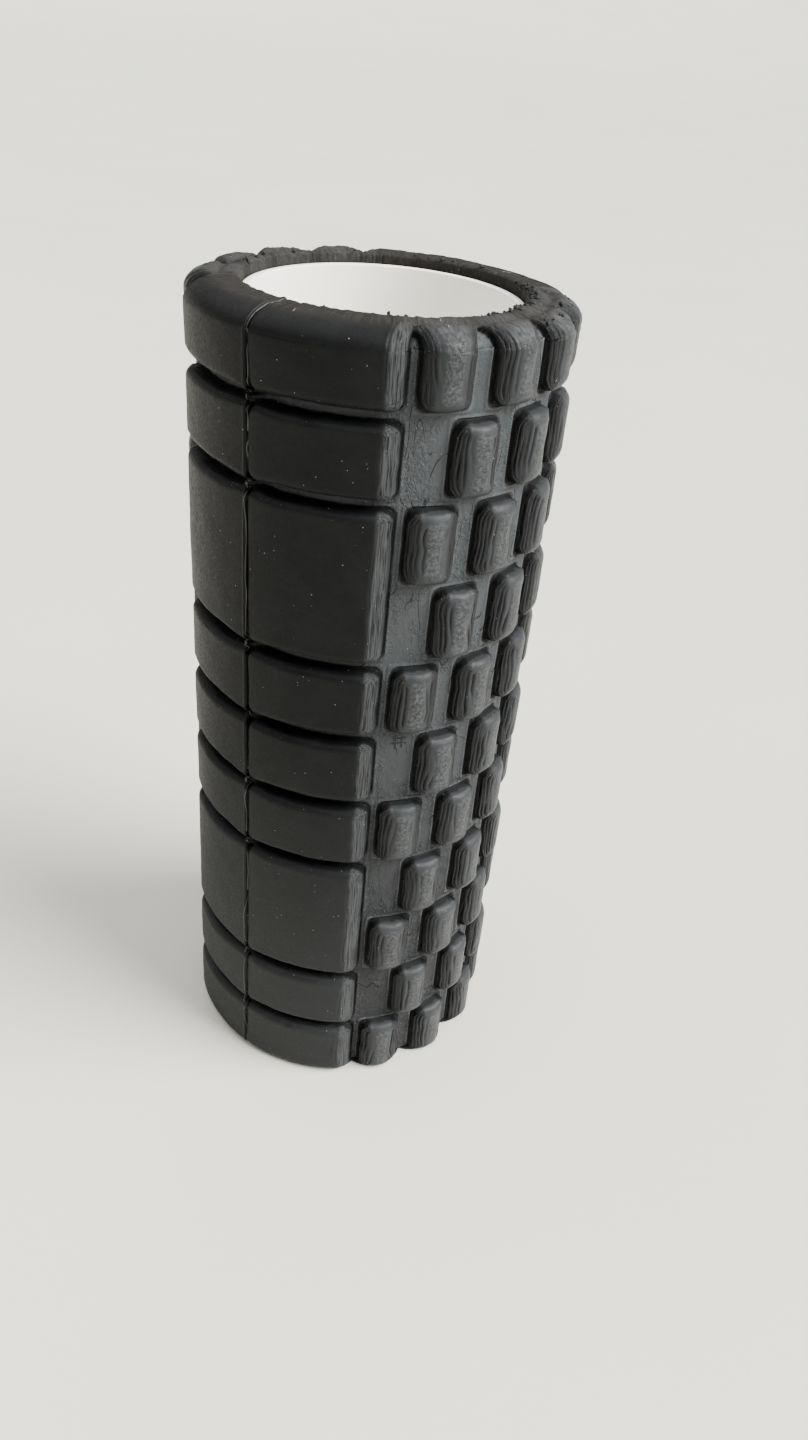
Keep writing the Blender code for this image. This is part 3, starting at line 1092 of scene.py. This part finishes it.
def build_tube(material):
    """A thick-walled tube with eased edges; z steps keep its shading even."""
    inner, outer = TUBE_OUT - TUBE_WALL, TUBE_OUT
    low, high = TUBE_LOW[2], TUBE_HIGH[2]
    ease = TUBE_CORNER
    steps = np.linspace(low + TUBE_EASE, high - TUBE_EASE, TUBE_STEPS)[1:-1]
    outline = [(outer - a, low + b) for a, b in ease]
    outline += [(outer, z) for z in steps]
    outline += [(outer - a, high - b) for a, b in ease[::-1]]
    outline += [(inner + a, high - b) for a, b in ease]
    outline += [(inner, z) for z in steps[::-1]]
    outline += [(inner + a, low + b) for a, b in ease[::-1]]
    mesh = lathe_mesh("tube", outline, SEGMENTS)
    return add_piece("tube", mesh, material, "core_tube")


def build_film(material):
    inner, outer = FILM_HIGH[0] - FILM_THICK, FILM_HIGH[0]
    low, high = FILM_LOW[2], FILM_HIGH[2]
    outline = [(inner, low), (outer, low), (outer, high), (inner, high)]
    mesh = lathe_mesh("cement_film", outline, SEGMENTS)
    return add_piece("cement_film", mesh, material, "adhesive_film")


def build_bead(material, bands):
    """The line of dried cement in the seam's notch, thicker in the grooves."""
    path, normal = [], []
    for band in bands:
        keep = band.stage[:, 0] < 3
        path.append(band.at[keep, 0])
        normal.append(band.out[keep, 0])
    path, normal = np.concatenate(path), np.concatenate(normal)
    tangent = np.gradient(path, axis=0)
    tangent /= np.linalg.norm(tangent, axis=1, keepdims=True)
    side = np.cross(tangent, normal)
    side /= np.linalg.norm(side, axis=1, keepdims=True)
    run = np.cumsum(np.linalg.norm(np.diff(path, axis=0, prepend=path[:1]), axis=1))
    low = np.hypot(path[:, 0], path[:, 1]) < TIP - BEAD_GROOVE
    half, tall = (
        usual + vary * noise(run / 7, 0 * run, seed) + more * low
        for (usual, vary, more), seed in (
            (BEAD_HALF, Seed.BEAD_WIDTH),
            (BEAD_TALL, Seed.BEAD_HEIGHT),
        )
    )
    turn = np.linspace(0, 2 * math.pi, BEAD_SIDES, endpoint=False)[None, :, None]
    points = (
        path[:, None]
        + side[:, None] * np.cos(turn) * half[:, None, None]
        + normal[:, None] * (np.sin(turn) + 0.1) * tall[:, None, None]
    )
    rows, columns = points.shape[:2]
    quads = grid_faces(0, rows, columns)
    ends = [(0, j + 1, j) for j in range(1, columns - 1)]
    top = (rows - 1) * columns
    ends += [(top, top + j, top + j + 1) for j in range(1, columns - 1)]
    mesh = mesh_from("cement_bead", points.reshape(-1, 3), quads, ends)
    return add_piece("cement_bead", mesh, material, "seam_bead")


def crumb_places(band, rng):
    """Points on the cut end: by the bore, and on the rim where it's torn."""
    angle = np.arctan2(band.at[..., 1], band.at[..., 0])
    inner = (band.stage == 2) & (band.share > 0.75)
    outer = (band.stage == 1) & (band.share > 0.45) & (band.share < 0.95)
    outer &= np.abs(angle) < 0.7
    near = inner & (np.abs(angle - 0.3) < 1.2)
    places = []
    for mask, count, size in ((near, 40, 0.62), (inner, 28, 0.5), (outer, 22, 0.5)):
        found = np.argwhere(mask)
        for i, j in found[rng.choice(len(found), count, replace=False)]:
            places.append((band.at[i, j], band.out[i, j], size * rng.uniform(0.5, 1.5)))
    return places


def build_crumbs(material, bands):
    """Scraps of torn foam that cling to the cut end."""
    rng = np.random.default_rng(Seed.CRUMBS)
    bm = bmesh.new()
    for at, out, size in crumb_places(bands[-1], rng):
        made = bmesh.ops.create_icosphere(bm, subdivisions=2, radius=1.0)["verts"]
        stretch = rng.uniform(0.6, 1.5, 3)
        axis = Vector(rng.normal(size=3)).normalized()
        spin = Matrix.Rotation(rng.uniform(0, 6.28), 3, axis)
        centre = Vector(at + out * size * 0.3)
        phase = rng.uniform(0, 6.28)
        for v in made:
            rough = 1 + 0.28 * math.sin(7 * v.co.x + 3 * v.co.y + phase)
            rough += 0.2 * math.sin(9 * v.co.z + phase)
            shape = [v.co[i] * stretch[i] * size * rough for i in range(3)]
            v.co = centre + spin @ Vector(shape)
    mesh = bpy.data.meshes.new("foam_crumbs")
    bm.to_mesh(mesh)
    bm.free()
    mesh.transform(Matrix.Scale(MM, 4))
    for polygon in mesh.polygons:
        polygon.use_smooth = True
    return add_piece("foam_crumbs", mesh, material, None)


# --- Camera, table and light ---

# The camera that was fitted to the photograph's outlines, in metres.
CAMERA_AT = (0.0, -0.4126, 0.4190)
CAMERA_DOWN = math.radians(33.09)
CAMERA_PAN = math.radians(2.90)
CAMERA_ROLL = math.radians(5.43)
CAMERA_LENS = 28.28


def add_camera():
    data = bpy.data.cameras.new("camera")
    data.sensor_width, data.lens = 36.0, CAMERA_LENS
    data.clip_start, data.clip_end = 0.01, 20.0
    camera = bpy.data.objects.new("camera", data)
    bpy.context.scene.collection.objects.link(camera)
    flat = math.cos(CAMERA_DOWN)
    east, north = math.sin(CAMERA_PAN), math.cos(CAMERA_PAN)
    ahead = Vector((east * flat, north * flat, -math.sin(CAMERA_DOWN)))
    right = Vector((north, -east, 0))
    up = right.cross(ahead)
    c, s = math.cos(CAMERA_ROLL), math.sin(CAMERA_ROLL)
    right, up = c * right + s * up, c * up - s * right
    turn = Matrix((right, up, -ahead)).transposed().to_4x4()
    camera.matrix_world = Matrix.Translation(CAMERA_AT) @ turn
    bpy.context.scene.camera = camera


# The table top: how far it is flat, how far it goes and how high it curves up.
STAGE_FLAT = 10000.0
STAGE_EDGE = 17000.0
STAGE_RISE = 1600.0
STAGE_DROP = 0.1  # how far it lies under z = 0


def add_stage(material):
    """A plain pale table top just under z = 0 that curves up far away."""
    count = 96
    turn = np.linspace(0, 2 * math.pi, count, endpoint=False)
    radius = np.linspace(STAGE_FLAT, STAGE_EDGE, 12)[:, None]
    rise = STAGE_RISE * ((radius - STAGE_FLAT) / (STAGE_EDGE - STAGE_FLAT)) ** 2
    rings = np.stack([radius * np.cos(turn), radius * np.sin(turn), rise + 0 * turn], -1)
    rows = len(radius)
    centre = rows * count
    vertices = np.concatenate([rings.reshape(-1, 3), [[0, 0, 0]]])
    vertices = vertices - [0, 0, STAGE_DROP]
    fan = [(centre, i, (i + 1) % count) for i in range(count)]
    quads = grid_faces(0, rows, count)[:, ::-1]
    mesh = mesh_from("table_top", vertices, quads, fan)
    mesh.materials.append(material)
    table = bpy.data.objects.new("table_top", mesh)
    bpy.context.scene.collection.objects.link(table)


# Lights: strength, softness in degrees and colour.
WINDOW = (12.6, 42, (1.0, 0.985, 0.95))
WINDOW_FROM = (0.72, -0.20, 0.66)
CEILING = (3.4, 85, (1.0, 1.0, 0.98))
CEILING_TILT = (-8, -14, 0)
ROOM = ((0.80, 0.80, 0.77, 1.0), 0.33)


def add_sun(name, strength, softness, colour):
    data = bpy.data.lights.new(name, "SUN")
    data.energy, data.angle, data.color = strength, math.radians(softness), colour
    sun = bpy.data.objects.new(name, data)
    bpy.context.scene.collection.objects.link(sun)
    return sun


def add_light():
    """A broad soft window from the right and front, and a dim even room."""
    window = add_sun("window", *WINDOW)
    window.rotation_mode = "QUATERNION"
    window.rotation_quaternion = Vector(WINDOW_FROM).to_track_quat("Z", "Y")
    ceiling = add_sun("ceiling", *CEILING)
    ceiling.rotation_euler = [math.radians(tilt) for tilt in CEILING_TILT]
    world = bpy.data.worlds.new("room_light")
    bpy.context.scene.world = world
    world.use_nodes = True
    back = world.node_tree.nodes["Background"]
    back.inputs["Color"].default_value, back.inputs["Strength"].default_value = ROOM


# --- The scene ---


add_camera()
add_stage(table_material())
add_light()
build_tube(tube_material())
build_film(cement_material())
foam = foam_material()
sheet_bands = build_bands()
build_sleeve(foam, sheet_bands)
build_bead(bead_material(), sheet_bands)
build_crumbs(foam, sheet_bands)
